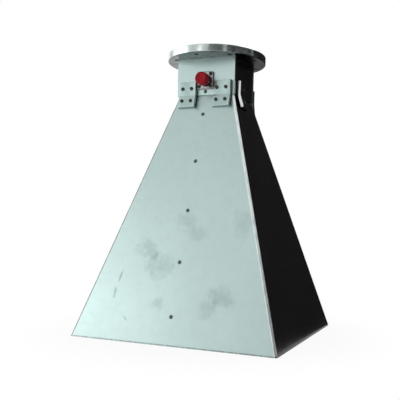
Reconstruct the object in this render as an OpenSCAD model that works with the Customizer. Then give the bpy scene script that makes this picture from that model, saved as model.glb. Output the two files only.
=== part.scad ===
// Double-ridged horn antenna: a flared sheet-metal horn on a short feed housing with a round
// mounting flange. The aperture rim stands on z = 0, +Z runs up through the feed housing to the
// flange, the coaxial connector faces -Y, and everything is centred on the Z axis.

/* [Flare] */
// Outer width of the aperture, along X
aperture_w = 296; // [260:1:330]
// Outer depth of the aperture, along Y
aperture_d = 272; // [240:1:300]
// Height of the flare, from the aperture rim to the feed housing
flare_h = 343; // [300:1:400]
// Thickness of the flare's four sheets, measured level with the rim
flare_wall = 3.2; // [2.6:0.1:4]
// Leg of the chamfer along the long corners of the front and rear sheets
corner_chamfer = 2.4; // [0.5:0.1:2.5]

/* [Feed housing] */
// Outer width of the feed housing, along X
feed_w = 90; // [86:1:100]
// Outer depth of the feed housing, along Y
feed_d = 78; // [74:1:90]
// Height of the feed housing, from the flare to the flange
feed_h = 54; // [50:1:80]
// Thickness of the feed housing's four plates
feed_wall = 5; // [4.5:0.1:6]

/* [Mounting flange] */
// Diameter of the round flange
flange_d = 146; // [140:1:180]
// Thickness of the flange
flange_t = 11; // [8:0.5:16]
// Chamfer around both edges of the flange
flange_chamfer = 0.8; // [0.2:0.1:2]
// Diameter of the circle that the mounting holes lie on
bolt_circle_d = 124; // [122:1:130]
// Number of mounting holes
bolt_count = 8; // [4:2:12]
// Diameter of a mounting hole, for an M6 bolt
bolt_hole_d = 6.6; // [5.5:0.1:7]
// Turn of the mounting holes about the flange's axis, in degrees
bolt_turn = -5; // [-20:1:20]

/* [Ridges] */
// Thickness of a ridge, along X
ridge_w = 14; // [12:0.5:20]
// Gap between the two ridges at the feed
ridge_gap = 4; // [2:0.5:6]
// Height of the ridge ends above the aperture rim
ridge_end_z = 3; // [2:0.5:8]
// Height of the ridges above the connector's axis
ridge_over = 9; // [8:0.5:12]
// Back bevel at the top of a ridge
ridge_bevel = 7; // [2:0.5:10]
// Number of straight steps along the exponential edge
ridge_steps = 32; // [16:1:48]

/* [Ridge screws] */
// Height of the lowest ridge screw above the aperture rim
first_screw_z = 36; // [30:0.5:50]
// Height from one ridge screw to the next
screw_pitch = 69.5; // [60:0.5:72]
// Number of ridge screws in each broad sheet of the flare
screw_count = 5; // [3:1:5]
// Height above the flare of the ridge screw in the feed housing
feed_screw_up = 5; // [4.5:0.1:5.2]

/* [Joint brackets] */
// Width of a bracket
bracket_w = 28; // [26:0.5:28]
// Height of a bracket's upper leg, on the feed housing
bracket_up = 20; // [16:0.5:22]
// Height of a bracket's lower leg, on the flare
bracket_down = 18; // [14:0.5:24]
// Thickness of a bracket's plate on the feed housing
bracket_t = 2; // [1.5:0.1:3]
// How far the bracket's rib stands off the feed housing
rib_h = 6; // [4:0.5:10]
// Thickness of the rib
rib_t = 2; // [1.5:0.1:3]
// Distance of each front bracket's centre from the middle of the face
front_bracket_x = 27; // [27:0.5:29]
// Distance of each rear bracket's centre from the middle of the face
rear_bracket_x = 31; // [27:0.5:31]
// Distance of each side bracket's centre in front of the middle of the side
side_bracket_y = 16; // [12:0.5:18]
// Distance between a bracket's screws, along its width
bracket_screw_pitch = 14; // [12:0.5:15]
// How far the bracket's screws are moved away from the rib
bracket_screw_shift = 1.5; // [1:0.1:2.5]
// Height of the upper row of bracket screws above the joint
bracket_screw_up = 10; // [9:0.5:12]
// Depth of the lower row of bracket screws below the joint
bracket_screw_down = 8; // [7:0.5:10]

/* [Connector] */
// Height of the connector's axis above the flare
connector_up = 21; // [20:0.5:24]
// Side of the connector's square flange
plate_size = 25.4; // [25:0.1:25.5]
// Thickness of the connector's square flange
plate_t = 3; // [2:0.1:4]
// Distance between the connector's screws
plate_pitch = 18.2; // [17.5:0.1:18.5]
// Outer diameter of the threaded barrel
barrel_d = 15.9; // [15.5:0.1:16]
// Length from the housing's face to the end of the barrel
barrel_reach = 16.5; // [14:0.5:20]
// Outer diameter of the insulator in the ridge
insulator_d = 7; // [5:0.1:8]
// Diameter of the feed pin
pin_d = 2.1; // [1.2:0.1:2.4]
// Outer diameter of the dust cap
cap_d = 18.8; // [18.4:0.1:20]
// Thickness of the dust cap's closed end
cap_end_t = 1.5; // [1:0.1:2.5]

/* [Screws] */
// Shank diameter of every screw, for M3
screw_d = 3; // [2.8:0.1:3]
// Head diameter of the button-head screws
button_head_d = 5.6; // [5:0.1:6]
// Height of a button head
button_head_h = 1.9; // [1.5:0.1:2.2]
// Head diameter of the countersunk screws
flat_head_d = 5.8; // [5:0.1:6.2]
// Width across the flats of the hexagon sockets
socket_af = 2; // [1.5:0.1:2.5]
// Radial clearance of a screw in its threaded hole
thread_play = 0.05; // [0.02:0.01:0.1]

/* [Hidden] */
$fn = 48;
eps = 0.01;

bare = [0.80, 0.83, 0.82];
black = [0.10, 0.10, 0.11];
screw_black = [0.14, 0.15, 0.15];
nickel = [0.72, 0.70, 0.66];
gold = [0.86, 0.68, 0.32];
ptfe = [0.93, 0.93, 0.90];
red = [0.68, 0.08, 0.12];

// Turns that carry the front face onto each of the four faces
front = 0;
right = 90;
rear = 180;
left = -90;

// Levels
flange_z = flare_h + feed_h;
axis_z = flare_h + connector_up;
ridge_top_z = axis_z + ridge_over;

// The flare's sheets are flush with the inside of the feed housing where they meet it
throat_w = feed_w - 2*feed_wall + 2*flare_wall;
throat_d = feed_d - 2*feed_wall + 2*flare_wall;
slope_x = (aperture_w - throat_w)/2/flare_h;
slope_y = (aperture_d - throat_d)/2/flare_h;
function out_x(z) = aperture_w/2 - slope_x*z;
function out_y(z) = aperture_d/2 - slope_y*z;
function in_x(z) = out_x(z) - flare_wall;
function in_y(z) = out_y(z) - flare_wall;

// Half sizes and slope of the face at a given turn
function is_side(turn) = abs(turn) == 90;
function feed_half(turn) = (is_side(turn) ? feed_w : feed_d)/2;
function throat_half(turn) = (is_side(turn) ? throat_w : throat_d)/2;
function face_slope(turn) = is_side(turn) ? slope_x : slope_y;
function face_half(turn, z) = throat_half(turn) + face_slope(turn)*(flare_h - z);

// The ridges' facing edges open out by an exponential law from the feed to the aperture
taper_rate = ln(in_y(0)/(ridge_gap/2))/flare_h;
function ridge_edge(z) = ridge_gap/2*exp(taper_rate*(flare_h - z));

// Screws
flat_cone_h = (flat_head_d - screw_d)/2;
socket_h = 1.1;
clear_d = screw_d + 0.4;
tapped_d = screw_d + 2*thread_play;
head_play = 0.1;
ridge_screw_len = 12;
ridge_thread_depth = 14;
flange_screw_len = flange_t + 7;
flange_thread_depth = 8;
plate_screw_len = plate_t + feed_wall;
bracket_screw_len = bracket_t + feed_wall;
flange_screw_x = [-30, 0, 30];
flange_screw_y = [-18, 18];

// Bracket leg thickness on the flare, normal to its face
function lower_leg(turn) = feed_half(turn) + bracket_t - throat_half(turn);

// [turn, centre along the face, side of the rib] of each bracket, seen from outside
front_left_place = [front, -front_bracket_x, 1];
front_right_place = [front, front_bracket_x, 1];
rear_right_place = [rear, -rear_bracket_x, -1];
rear_left_place = [rear, rear_bracket_x, 1];
right_place = [right, -side_bracket_y, -1];
left_place = [left, side_bracket_y, 1];
bracket_places = [front_left_place, front_right_place, rear_right_place, rear_left_place,
                  right_place, left_place];

// Connector, measured outwards from the housing's front face
neck_d = 13.4;
neck_end = plate_t + 4;
barrel_chamfer = 0.7;
mouth_d = 8.4;
seat_z = 4;
bead_end = 8;
contact_d = 3.2;
contact_end = 14;
contact_bore_d = 1.7;
contact_bore_depth = 5;
spigot_d = 12;
spigot_play = 0.05;
insulator_play = 0.03;
pin_play = 0.03;
pin_in_rear_ridge = 10;
plate_corner_r = 1.5;
cap_start = neck_end + 0.5;
cap_bore_d = barrel_d + 0.1;
cap_round = 1.2;
cap_dish_d = 13;
cap_dish_h = 0.6;

// Solid between a lower outline at z = 0 and a matching upper outline at z = height.
// Both outlines run counter-clockwise, seen from above.
module loft(lower, upper, height) {
    n = len(lower);
    polyhedron(points = concat([for (p = lower) [p.x, p.y, 0]],
                               [for (p = upper) [p.x, p.y, height]]),
               faces = concat([[for (i = [0:n - 1]) i]],
                              [[for (i = [n - 1:-1:0]) n + i]],
                              [for (i = [0:n - 1]) [i, n + i, n + (i + 1) % n, (i + 1) % n]]),
               convexity = 2);
}

// Puts local +Z along the outward normal of a feed housing face
module on_feed(turn, along, z) {
    rotate([0, 0, turn]) translate([along, -feed_half(turn), z]) rotate([90, 0, 0]) children();
}

// Puts local +Z along the outward normal of a flare face, raised off the face by rise
module on_flare(turn, along, z, rise = 0) {
    tilt = atan(face_slope(turn));
    rotate([0, 0, turn]) translate([along, -face_half(turn, z) - rise, z])
        rotate([90 - tilt, 0, 0]) children();
}

// Drill along local Z, from above the surface down to depth
module drill(d, depth) {
    translate([0, 0, -depth]) cylinder(d = d, h = depth + 10);
}

// Ninety-degree countersink for a flat head that lies level with the surface
module countersink() {
    translate([0, 0, -flat_head_d/2])
        cylinder(d1 = 0, d2 = flat_head_d + 2*head_play, h = flat_head_d/2 + head_play);
}

// Hexagon socket cut into a screw head whose top is at local z = 0
module socket() {
    translate([0, 0, -socket_h]) cylinder(d = socket_af/cos(30), h = socket_h + 1, $fn = 6);
}

// Countersunk screw, its head level with local z = 0
module flat_screw(length) {
    difference() {
        rotate_extrude() polygon([[0, -length], [screw_d/2 - 0.4, -length],
            [screw_d/2, -length + 0.4], [screw_d/2, -flat_cone_h], [flat_head_d/2, 0], [0, 0]]);
        socket();
    }
}

// Button-head screw, its head standing on local z = 0
module button_screw(length) {
    r = button_head_d/2;
    difference() {
        rotate_extrude() polygon([[0, -length], [screw_d/2 - 0.4, -length],
            [screw_d/2, -length + 0.4], [screw_d/2, 0], [r, 0], [r, 0.35*button_head_h],
            [0.87*r, 0.75*button_head_h], [0.62*r, button_head_h], [0, button_head_h]]);
        translate([0, 0, button_head_h]) socket();
    }
}

// Every place of a broad face where a screw holds the ridge, on the flare and on the housing
module at_ridge_screws(turn) {
    for (i = [0:screw_count - 1]) on_flare(turn, 0, first_screw_z + i*screw_pitch) children();
    on_feed(turn, 0, flare_h + feed_screw_up) children();
}

// Every place where a screw holds a bracket to the feed housing, on the bracket's surface
module at_upper_screws(place) {
    centre = place[1] - place[2]*bracket_screw_shift;
    for (side = [-1, 1])
        on_feed(place[0], centre + side*bracket_screw_pitch/2, flare_h + bracket_screw_up)
            translate([0, 0, bracket_t]) children();
}

// Every place where a screw holds a bracket to the flare, on the bracket's surface
module at_lower_screws(place) {
    centre = place[1] - place[2]*bracket_screw_shift;
    for (side = [-1, 1])
        on_flare(place[0], centre + side*bracket_screw_pitch/2, flare_h - bracket_screw_down,
                 lower_leg(place[0])) children();
}

// Every place where a screw holds the flange to the top of a housing plate
module at_flange_screws(turn) {
    spots = is_side(turn) ? flange_screw_y : flange_screw_x;
    for (along = spots)
        rotate([0, 0, turn]) translate([along, -feed_half(turn) + feed_wall/2, 0]) children();
}

// Every place where a screw holds the connector's flange, on the housing's front face
module at_connector_screws() {
    for (i = [-1, 1], j = [-1, 1])
        on_feed(front, i*plate_pitch/2, axis_z + j*plate_pitch/2) children();
}

// ---- Flange and feed housing ----

module mounting_flange() color(bare) {
    c = flange_chamfer;
    r = flange_d/2;
    difference() {
        translate([0, 0, flange_z]) rotate_extrude($fn = 120)
            polygon([[0, 0], [r - c, 0], [r, c], [r, flange_t - c], [r - c, flange_t],
                     [0, flange_t]]);
        for (i = [0:bolt_count - 1])
            rotate([0, 0, bolt_turn + i*360/bolt_count])
                translate([bolt_circle_d/2, 0, flange_z - 1])
                    cylinder(d = bolt_hole_d, h = flange_t + 2);
        for (turn = [front, right, rear, left])
            at_flange_screws(turn) translate([0, 0, flange_z + flange_t]) {
                drill(clear_d, flange_t + 1);
                countersink();
            }
    }
}

module flange_screws() color(screw_black) {
    for (turn = [front, right, rear, left])
        at_flange_screws(turn) translate([0, 0, flange_z + flange_t]) flat_screw(flange_screw_len);
}

// One plate of the feed housing, before its holes; the front and rear plates cover the sides
module feed_plate_blank(turn) {
    span = is_side(turn) ? feed_d - 2*feed_wall : feed_w;
    rotate([0, 0, turn])
        translate([-span/2, -feed_half(turn), flare_h]) cube([span, feed_wall, feed_h]);
}

// Threaded holes that every plate has: for its brackets and for the flange
module feed_plate_threads(turn) {
    for (place = bracket_places)
        if (place[0] == turn) at_upper_screws(place) drill(tapped_d, bracket_t + feed_wall + 1);
    at_flange_screws(turn) translate([0, 0, flange_z]) drill(tapped_d, flange_thread_depth);
}

module feed_front_plate() color(bare) {
    difference() {
        feed_plate_blank(front);
        feed_plate_threads(front);
        on_feed(front, 0, axis_z) drill(spigot_d + 2*spigot_play, feed_wall + 1);
        at_connector_screws() drill(tapped_d, feed_wall + 1);
        on_feed(front, 0, flare_h + feed_screw_up) {
            drill(clear_d, feed_wall + 1);
            countersink();
        }
    }
}

module feed_rear_plate() color(bare) {
    difference() {
        feed_plate_blank(rear);
        feed_plate_threads(rear);
        on_feed(rear, 0, flare_h + feed_screw_up) {
            drill(clear_d, feed_wall + 1);
            countersink();
        }
    }
}

module feed_side_plate(turn) color(black) {
    difference() {
        feed_plate_blank(turn);
        feed_plate_threads(turn);
    }
}

module feed_left_plate() feed_side_plate(left);
module feed_right_plate() feed_side_plate(right);

// ---- Flare ----

// Outline of a front sheet at height z, with its outer corners chamfered
function broad_outline(z) = [
    [-out_x(z) + corner_chamfer, -out_y(z)], [out_x(z) - corner_chamfer, -out_y(z)],
    [out_x(z), -out_y(z) + corner_chamfer], [out_x(z), -in_y(z)],
    [-out_x(z), -in_y(z)], [-out_x(z), -out_y(z) + corner_chamfer]];

// Outline of the right side sheet at height z, between the front and rear sheets
function narrow_outline(z) = [
    [in_x(z), -in_y(z)], [out_x(z), -in_y(z)], [out_x(z), in_y(z)], [in_x(z), in_y(z)]];

// Threaded holes in a flare sheet for the lower rows of its bracket screws
module flare_threads(turn) {
    for (place = bracket_places)
        if (place[0] == turn)
            at_lower_screws(place) drill(tapped_d, lower_leg(turn) + flare_wall + 1);
}

module flare_broad_panel(turn) color(bare) {
    difference() {
        rotate([0, 0, turn]) loft(broad_outline(0), broad_outline(flare_h), flare_h);
        flare_threads(turn);
        for (i = [0:screw_count - 1]) on_flare(turn, 0, first_screw_z + i*screw_pitch) {
            drill(clear_d, flare_wall + 1);
            countersink();
        }
    }
}

module flare_side_panel(turn) color(black) {
    difference() {
        rotate([0, 0, turn - right])
            loft(narrow_outline(0), narrow_outline(flare_h), flare_h);
        flare_threads(turn);
    }
}

module flare_front_panel() flare_broad_panel(front);
module flare_rear_panel() flare_broad_panel(rear);
module flare_left_panel() flare_side_panel(left);
module flare_right_panel() flare_side_panel(right);

// ---- Ridges ----

// Profile of a ridge as [distance from the axis, height]: the exponential edge from the
// aperture up to the feed, the flat stretch at the feed, the bevelled top and the straight back
function ridge_profile() = concat(
    [for (i = [0:ridge_steps])
        let (z = ridge_end_z + i*(flare_h - ridge_end_z)/ridge_steps) [ridge_edge(z), z]],
    [[ridge_gap/2, ridge_top_z], [ridge_gap/2 + ridge_bevel, ridge_top_z + ridge_bevel],
     [in_y(flare_h), ridge_top_z + ridge_bevel], [in_y(flare_h), flare_h],
     [in_y(ridge_end_z), ridge_end_z]]);

// A ridge with the threaded holes for its screws
module ridge_blank(turn) {
    difference() {
        rotate([0, 0, turn]) rotate([90, 0, -90])
            linear_extrude(height = ridge_w, center = true) polygon(ridge_profile());
        at_ridge_screws(turn) drill(tapped_d, ridge_thread_depth);
    }
}

module front_ridge() color(bare) {
    difference() {
        ridge_blank(front);
        on_feed(front, 0, axis_z) drill(insulator_d + 2*insulator_play, feed_d/2);
    }
}

module rear_ridge() color(bare) {
    difference() {
        ridge_blank(rear);
        on_feed(front, 0, axis_z)
            drill(pin_d + 2*pin_play, feed_d/2 + ridge_gap/2 + pin_in_rear_ridge + 1);
    }
}

module ridge_screws(turn) color(screw_black) {
    at_ridge_screws(turn) flat_screw(ridge_screw_len);
}

module front_ridge_screws() ridge_screws(front);
module rear_ridge_screws() ridge_screws(rear);

// ---- Joint brackets ----

// Part of a bracket of the given width whose outer face stands height off the feed housing.
// Its inner face steps in from the housing to the flare, and both legs are followed outside.
module bracket_strip(turn, height, width) {
    half = feed_half(turn);
    drop = face_slope(turn)*bracket_down;
    rotate([90, 0, -90]) linear_extrude(height = width, center = true)
        polygon([[half, bracket_up], [half, 0], [throat_half(turn), 0],
                 [throat_half(turn) + drop, -bracket_down], [half + height + drop, -bracket_down],
                 [half + height, 0], [half + height, bracket_up]]);
}

module bracket(place) color(bare) {
    turn = place[0];
    difference() {
        rotate([0, 0, turn]) translate([place[1], 0, flare_h]) {
            bracket_strip(turn, bracket_t, bracket_w);
            translate([place[2]*(bracket_w - rib_t)/2, 0, 0]) bracket_strip(turn, rib_h, rib_t);
        }
        at_upper_screws(place) drill(clear_d, bracket_t + 1);
        at_lower_screws(place) drill(clear_d, lower_leg(turn) + 1);
    }
}

module front_left_bracket() bracket(front_left_place);
module front_right_bracket() bracket(front_right_place);
module rear_left_bracket() bracket(rear_left_place);
module rear_right_bracket() bracket(rear_right_place);
module left_bracket() bracket(left_place);
module right_bracket() bracket(right_place);

// The eight screws of the brackets on the given faces
module bracket_screws(turns) color(screw_black) {
    for (place = bracket_places, turn = turns)
        if (place[0] == turn) {
            at_upper_screws(place) button_screw(bracket_screw_len);
            at_lower_screws(place) button_screw(lower_leg(turn) + flare_wall - 0.5);
        }
}

module front_bracket_screws() bracket_screws([front]);
module rear_bracket_screws() bracket_screws([rear]);
module side_bracket_screws() bracket_screws([left, right]);

// ---- Connector ----

// Square with rounded corners
module rounded_square(size, r) {
    square([size, size - 2*r], center = true);
    square([size - 2*r, size], center = true);
    for (i = [-1, 1], j = [-1, 1]) translate([i*(size/2 - r), j*(size/2 - r)]) circle(r = r);
}

// Panel jack: square flange, rear spigot, neck and threaded barrel in one piece
module connector_body() color(nickel) on_feed(front, 0, axis_z) {
    rb = barrel_d/2;
    difference() {
        union() {
            linear_extrude(height = plate_t) rounded_square(plate_size, plate_corner_r);
            rotate_extrude() polygon([[0, -feed_wall], [spigot_d/2, -feed_wall],
                [spigot_d/2, plate_t/2], [neck_d/2, plate_t/2], [neck_d/2, neck_end],
                [rb - barrel_chamfer, neck_end], [rb, neck_end + barrel_chamfer],
                [rb, barrel_reach - barrel_chamfer], [rb - barrel_chamfer, barrel_reach],
                [0, barrel_reach]]);
        }
        translate([0, 0, -feed_wall - 1])
            cylinder(d = insulator_d + 2*insulator_play, h = barrel_reach);
        translate([0, 0, seat_z]) cylinder(d = mouth_d, h = barrel_reach);
        for (i = [-1, 1], j = [-1, 1])
            translate([i*plate_pitch/2, j*plate_pitch/2, 0]) drill(clear_d, 1);
    }
}

// Insulator from the jack's mouth through the front ridge to its facing edge
module connector_insulator() color(ptfe) on_feed(front, 0, axis_z) {
    tip = -(feed_d/2 - ridge_gap/2);
    difference() {
        rotate_extrude() polygon([[0, tip], [insulator_d/2, tip], [insulator_d/2, seat_z],
            [mouth_d/2 - insulator_play, seat_z], [mouth_d/2 - insulator_play, bead_end],
            [0, bead_end]]);
        translate([0, 0, tip - 1]) cylinder(d = pin_d + 2*pin_play, h = bead_end - tip + 2);
    }
}

// Feed pin from the jack's contact across the gap into the rear ridge
module feed_pin() color(gold) on_feed(front, 0, axis_z) {
    tip = -(feed_d/2 + ridge_gap/2 + pin_in_rear_ridge);
    difference() {
        rotate_extrude() polygon([[0, tip], [pin_d/2 - 0.3, tip], [pin_d/2, tip + 0.3],
            [pin_d/2, bead_end], [contact_d/2, bead_end], [contact_d/2, contact_end],
            [0, contact_end]]);
        translate([0, 0, contact_end - contact_bore_depth])
            cylinder(d = contact_bore_d, h = contact_bore_depth + 1);
    }
}

module connector_screws() color(screw_black) {
    at_connector_screws() translate([0, 0, plate_t]) button_screw(plate_screw_len);
}

// Moulded push-on cap with a dished end
module dust_cap() color(red) on_feed(front, 0, axis_z) {
    r = cap_d/2;
    end = barrel_reach + cap_end_t;
    shoulder = end - cap_round;
    difference() {
        rotate_extrude() union() {
            translate([0, cap_start]) square([r, shoulder - cap_start]);
            translate([0, shoulder - eps]) square([r - cap_round, cap_round + eps]);
            translate([r - cap_round, shoulder]) circle(r = cap_round);
        }
        translate([0, 0, cap_start - 1]) cylinder(d = cap_bore_d, h = barrel_reach - cap_start + 1);
        translate([0, 0, end - cap_dish_h]) cylinder(d = cap_dish_d, h = 1);
    }
}

mounting_flange();
flange_screws();
feed_front_plate();
feed_rear_plate();
feed_left_plate();
feed_right_plate();
flare_front_panel();
flare_rear_panel();
flare_left_panel();
flare_right_panel();
front_ridge();
rear_ridge();
front_ridge_screws();
rear_ridge_screws();
front_left_bracket();
front_right_bracket();
rear_left_bracket();
rear_right_bracket();
left_bracket();
right_bracket();
front_bracket_screws();
rear_bracket_screws();
side_bracket_screws();
connector_body();
connector_insulator();
feed_pin();
connector_screws();
dust_cap();
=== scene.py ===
"""Looks of a double-ridged horn antenna: finishes, fine pieces and the studio around the frame.

The frame stands on z = 0, +Z runs up to the mounting flange and -Y points out of the face
that carries the coaxial jack. All lengths are in metres.
"""

import logging
import math
from dataclasses import dataclass, field
from enum import Enum
from typing import Optional, Sequence, Union

import bmesh
import bpy
import numpy as np
from mathutils import Matrix, Vector

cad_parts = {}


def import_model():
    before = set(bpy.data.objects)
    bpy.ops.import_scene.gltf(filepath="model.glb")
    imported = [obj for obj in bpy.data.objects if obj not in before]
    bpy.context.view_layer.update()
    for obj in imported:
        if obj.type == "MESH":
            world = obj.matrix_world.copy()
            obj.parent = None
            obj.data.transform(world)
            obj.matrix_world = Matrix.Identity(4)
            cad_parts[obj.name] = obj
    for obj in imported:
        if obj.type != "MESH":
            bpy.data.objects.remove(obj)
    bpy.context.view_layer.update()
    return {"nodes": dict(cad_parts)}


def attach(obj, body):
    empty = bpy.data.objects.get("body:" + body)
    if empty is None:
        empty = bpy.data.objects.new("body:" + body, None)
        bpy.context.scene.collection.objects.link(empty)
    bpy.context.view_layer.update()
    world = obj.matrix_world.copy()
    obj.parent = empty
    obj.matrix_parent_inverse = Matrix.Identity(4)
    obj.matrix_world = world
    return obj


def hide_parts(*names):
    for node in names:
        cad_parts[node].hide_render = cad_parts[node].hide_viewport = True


LOG = logging.getLogger("horn")
Colour = tuple[float, float, float]
Socket = bpy.types.NodeSocket
Feed = Union[Socket, float, Colour]
MM = 0.001


# ---------------------------------------------------------------------------------------------
# Node trees


class NodeTree:
    """Node tree of one material, with short calls for the nodes that the finishes use."""

    def __init__(self, name: str) -> None:
        """Makes a material with a Principled shader and an empty pattern.

        Args:
            name: the material's name.
        """
        self.material = bpy.data.materials.new(name)
        self.material.use_nodes = True
        self.tree = self.material.node_tree
        self.shader = self.tree.nodes["Principled BSDF"]
        self.coordinates = self.add("ShaderNodeTexCoord").outputs["Object"]

    def add(self, kind: str, **settings: object) -> bpy.types.Node:
        """Adds a node and sets its properties.

        Args:
            kind: Blender's name of the node's type.
            settings: properties of the node.

        Returns:
            The new node.
        """
        node = self.tree.nodes.new(kind)
        for key, value in settings.items():
            setattr(node, key, value)
        return node

    def feed(self, socket: Socket, value: Feed) -> None:
        """Links value to a socket if it is a socket itself, and sets it as a constant otherwise.

        Args:
            socket: input that is fed.
            value: constant or socket.
        """
        if isinstance(value, bpy.types.NodeSocket):
            self.tree.links.new(value, socket)
        else:
            socket.default_value = value

    def shade(self, **values: Feed) -> None:
        """Feeds the shader's inputs; an underscore in a name stands for a blank.

        Args:
            values: inputs and what they get.
        """
        for key, value in values.items():
            if isinstance(value, tuple) and len(value) == 3:
                value = (*value, 1.0)
            self.feed(self.shader.inputs[key.replace("_", " ")], value)

    def calc(self, operation: str, a: Feed, b: Feed = 0.0, clamp: bool = False) -> Socket:
        """One sum of two numbers.

        Args:
            operation: Blender's name of the sum.
            a: first number or socket.
            b: second number or socket.
            clamp: whether the result is kept between 0 and 1.

        Returns:
            The result's socket.
        """
        node = self.add("ShaderNodeMath", operation=operation, use_clamp=clamp)
        self.feed(node.inputs[0], a)
        self.feed(node.inputs[1], b)
        return node.outputs[0]

    def mapped(self, centre: Sequence[float] = (0, 0, 0), size: Sequence[float] = (1, 1, 1),
               turn: Sequence[float] = (0, 0, 0), source: Optional[Socket] = None) -> Socket:
        """Coordinates centred on a point, turned, and divided by a size along each axis.

        Args:
            centre: the point that becomes the origin.
            size: the length along each axis that becomes 1.
            turn: Euler angles of the pattern, in radians.
            source: coordinates to start from; the object's own if left out.

        Returns:
            The new coordinates.
        """
        node = self.add("ShaderNodeMapping", vector_type="TEXTURE")
        self.feed(node.inputs["Vector"], self.coordinates if source is None else source)
        node.inputs["Location"].default_value = centre
        node.inputs["Rotation"].default_value = turn
        node.inputs["Scale"].default_value = size
        return node.outputs[0]

    def noise(self, vector: Socket, detail: float = 4.0, rough: float = 0.5) -> Socket:
        """Cloudy noise of about one feature per unit, from 0 to 1.

        Args:
            vector: coordinates, as a socket.
            detail: number of finer layers.
            rough: strength of the finer layers.

        Returns:
            The result's socket.
        """
        node = self.add("ShaderNodeTexNoise")
        self.feed(node.inputs["Vector"], vector)
        node.inputs["Scale"].default_value = 1.0
        node.inputs["Detail"].default_value = detail
        node.inputs["Roughness"].default_value = rough
        return node.outputs["Fac"]

    def spread(self, value: Feed, low: float, high: float, out_low: float = 0.0,
               out_high: float = 1.0) -> Socket:
        """Smooth step of value from out_low at low to out_high at high.

        Args:
            value: constant or socket.
            low: value where the step starts.
            high: value where the step ends.
            out_low: result up to low.
            out_high: result from high on.

        Returns:
            The result's socket.
        """
        node = self.add("ShaderNodeMapRange", interpolation_type="SMOOTHSTEP")
        for name, number in (("Value", value), ("From Min", low), ("From Max", high),
                             ("To Min", out_low), ("To Max", out_high)):
            self.feed(node.inputs[name], number)
        return node.outputs[0]

    def blend(self, share: Feed, a: Feed, b: Feed, mode: str = "MIX") -> Socket:
        """Mix of two colours.

        Args:
            share: how much of the second colour is used, from 0 to 1.
            a: first colour or socket.
            b: second colour or socket.
            mode: Blender's name of the way they mix.

        Returns:
            The mixed colour's socket.
        """
        node = self.add("ShaderNodeMix", data_type="RGBA", blend_type=mode)
        inputs = [s for s in node.inputs if s.enabled]
        self.feed(inputs[0], share)
        for socket, value in zip(inputs[1:], (a, b)):
            self.feed(socket, (*value, 1.0) if isinstance(value, tuple) else value)
        return [s for s in node.outputs if s.enabled][0]

    def axes(self, source: Optional[Socket] = None) -> tuple[Socket, ...]:
        """The three coordinates as separate sockets.

        Args:
            source: coordinates to start from; the object's own if left out.

        Returns:
            The sockets of x, y and z.
        """
        node = self.add("ShaderNodeSeparateXYZ")
        self.feed(node.inputs[0], self.coordinates if source is None else source)
        return tuple(node.outputs)

    def length(self, vector: Socket) -> Socket:
        """Length of a vector.

        Args:
            vector: coordinates, as a socket.

        Returns:
            The result's socket.
        """
        node = self.add("ShaderNodeVectorMath", operation="LENGTH")
        self.feed(node.inputs[0], vector)
        return node.outputs["Value"]

    def relief(self, height: Socket, depth: float, strength: float = 1.0) -> None:
        """Feeds the shader's normal with a bump of the given height pattern.

        Args:
            height: socket of the pattern, from 0 to 1.
            depth: real height of the pattern.
            strength: share of the bump that is used.
        """
        node = self.add("ShaderNodeBump")
        node.inputs["Strength"].default_value = strength
        node.inputs["Distance"].default_value = depth
        self.feed(node.inputs["Height"], height)
        self.feed(self.shader.inputs["Normal"], node.outputs[0])


@dataclass(frozen=True)
class Stain:
    """Soft smudge on an upright face, placed by x and z."""

    x: float
    z: float
    width: float
    height: float
    lean: float = 0.0
    strength: float = 1.0


# ---------------------------------------------------------------------------------------------
# Surfaces


@dataclass
class Surface:
    """Grid of points, as an array of rows by columns by three, that makes a mesh.

    A closed row joins its last column to its first. A cap fills the first or the last row
    with one flat face.
    """

    points: np.ndarray
    closed: bool = False
    first_cap: bool = False
    last_cap: bool = False

    def arrays(self) -> tuple[np.ndarray, list[list[int]]]:
        """Works out the mesh: vertex number = row times columns + column.

        Returns:
            The vertices and the faces.
        """
        rows, columns = self.points.shape[:2]
        across = columns if self.closed else columns - 1
        row, column = np.meshgrid(np.arange(rows - 1), np.arange(across), indexing="ij")
        after = (column + 1) % columns
        quads = np.stack([row * columns + column, row * columns + after,
                          (row + 1) * columns + after, (row + 1) * columns + column], axis=-1)
        faces = quads.reshape(-1, 4).tolist()
        if self.first_cap:
            faces.append(np.arange(columns)[::-1].tolist())
        if self.last_cap:
            faces.append(((rows - 1) * columns + np.arange(columns)).tolist())
        return self.points.reshape(-1, 3), faces

    def to_object(self, name: str) -> bpy.types.Object:
        """Makes an object of the surface, at the origin."""
        return join_surfaces(name, [self])


def join_surfaces(name: str, surfaces: Sequence[Surface],
                  smooth_angle: Optional[float] = None) -> bpy.types.Object:
    """Puts several surfaces into one mesh, whose faces all point outwards.

    Args:
        name: name of the new object.
        surfaces: the surfaces.
        smooth_angle: largest angle, in degrees, over which the shading is smooth.

    Returns:
        The new object, at the origin.
    """
    vertices, faces, base = [], [], 0
    for surface in surfaces:
        points, corners = surface.arrays()
        vertices.append(points)
        faces += [[base + corner for corner in face] for face in corners]
        base += len(points)
    mesh = bpy.data.meshes.new(name)
    mesh.from_pydata(np.concatenate(vertices).tolist(), [], faces)
    if smooth_angle is not None:
        shape = bmesh.new()
        shape.from_mesh(mesh)
        bmesh.ops.remove_doubles(shape, verts=shape.verts, dist=1e-6)
        bmesh.ops.recalc_face_normals(shape, faces=shape.faces)
        shape.to_mesh(mesh)
        shape.free()
        mesh.shade_smooth()
        mesh.set_sharp_from_angle(angle=math.radians(smooth_angle))
    made = bpy.data.objects.new(name, mesh)
    bpy.context.scene.collection.objects.link(made)
    return made


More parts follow.
